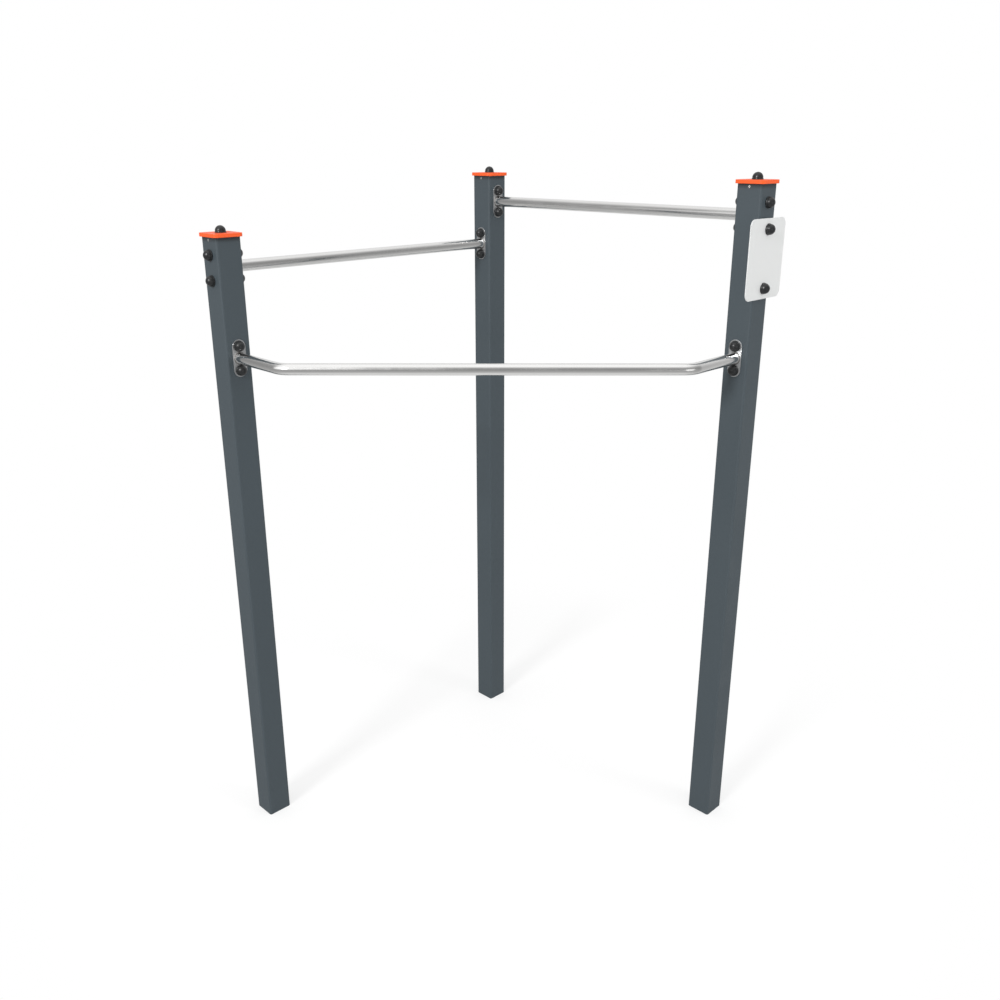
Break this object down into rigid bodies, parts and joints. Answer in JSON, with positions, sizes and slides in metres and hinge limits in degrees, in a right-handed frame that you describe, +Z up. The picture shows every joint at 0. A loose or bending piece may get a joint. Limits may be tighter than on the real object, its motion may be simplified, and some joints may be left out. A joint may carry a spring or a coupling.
{
  "type": "outdoor workout station",
  "caption": "Outdoor pull-up station: square posts in a triangle, joined by steel bars at different heights, with orange post caps and a blank white plate.",
  "frame": {"origin": "centre of the whole outline's footprint, level with the posts' lower ends", "axes": "+X from the short left post to the tall right post, +Y from the low bar to the back post, +Z up along the posts"},
  "size_m": [2.095, 1.2736, 2.6486],
  "materials": {
    "coated_steel": "anthracite powder coat, satin",
    "stainless_steel": "polished stainless tube with a soft reflection",
    "zinc_plated_steel": "bright zinc plating",
    "orange_plastic": "satin orange polyethylene",
    "black_plastic": "satin black polyamide",
    "grey_plastic": "matt grey polypropylene",
    "white_laminate": "smooth white laminate, blank"
  },
  "bodies": {
    "root": {"blank_plate": "white_laminate", "cap_bolt_back": "zinc_plated_steel", "cap_bolt_left": "zinc_plated_steel", "cap_bolt_right": "zinc_plated_steel", "cap_cover_back": "black_plastic", "cap_cover_left": "black_plastic", "cap_cover_right": "black_plastic", "cap_insert_back": "grey_plastic", "cap_insert_left": "grey_plastic", "cap_insert_right": "grey_plastic", "high_bar": "stainless_steel", "high_bar_back_lower_bolt": "zinc_plated_steel", "high_bar_back_lower_cover": "black_plastic", "high_bar_back_lower_nut_cover": "black_plastic", "high_bar_back_upper_bolt": "zinc_plated_steel", "high_bar_back_upper_cover": "black_plastic", "high_bar_back_upper_nut_cover": "black_plastic", "high_bar_right_lower_bolt": "zinc_plated_steel", "high_bar_right_lower_cover": "black_plastic", "high_bar_right_lower_nut_cover": "black_plastic", "high_bar_right_upper_bolt": "zinc_plated_steel", "high_bar_right_upper_cover": "black_plastic", "high_bar_right_upper_nut_cover": "black_plastic", "low_bar": "stainless_steel", "low_bar_left_lower_bolt": "zinc_plated_steel", "low_bar_left_lower_cover": "black_plastic", "low_bar_left_lower_nut_cover": "black_plastic", "low_bar_left_upper_bolt": "zinc_plated_steel", "low_bar_left_upper_cover": "black_plastic", "low_bar_left_upper_nut_cover": "black_plastic", "low_bar_right_lower_bolt": "zinc_plated_steel", "low_bar_right_lower_cover": "black_plastic", "low_bar_right_lower_nut_cover": "black_plastic", "low_bar_right_upper_bolt": "zinc_plated_steel", "low_bar_right_upper_cover": "black_plastic", "low_bar_right_upper_nut_cover": "black_plastic", "middle_bar": "stainless_steel", "middle_bar_back_lower_bolt": "zinc_plated_steel", "middle_bar_back_lower_cover": "black_plastic", "middle_bar_back_lower_nut_cover": "black_plastic", "middle_bar_back_upper_bolt": "zinc_plated_steel", "middle_bar_back_upper_cover": "black_plastic", "middle_bar_back_upper_nut_cover": "black_plastic", "middle_bar_left_lower_bolt": "zinc_plated_steel", "middle_bar_left_lower_cover": "black_plastic", "middle_bar_left_lower_nut_cover": "black_plastic", "middle_bar_left_upper_bolt": "zinc_plated_steel", "middle_bar_left_upper_cover": "black_plastic", "middle_bar_left_upper_nut_cover": "black_plastic", "plate_lower_bolt": "zinc_plated_steel", "plate_lower_cover": "black_plastic", "plate_spacer_lower": "grey_plastic", "plate_spacer_upper": "grey_plastic", "plate_weld_nut": "zinc_plated_steel", "post_back": "coated_steel", "post_cap_back": "orange_plastic", "post_cap_left": "orange_plastic", "post_cap_right": "orange_plastic", "post_left": "coated_steel", "post_right": "coated_steel"}
  },
  "joints": []
}
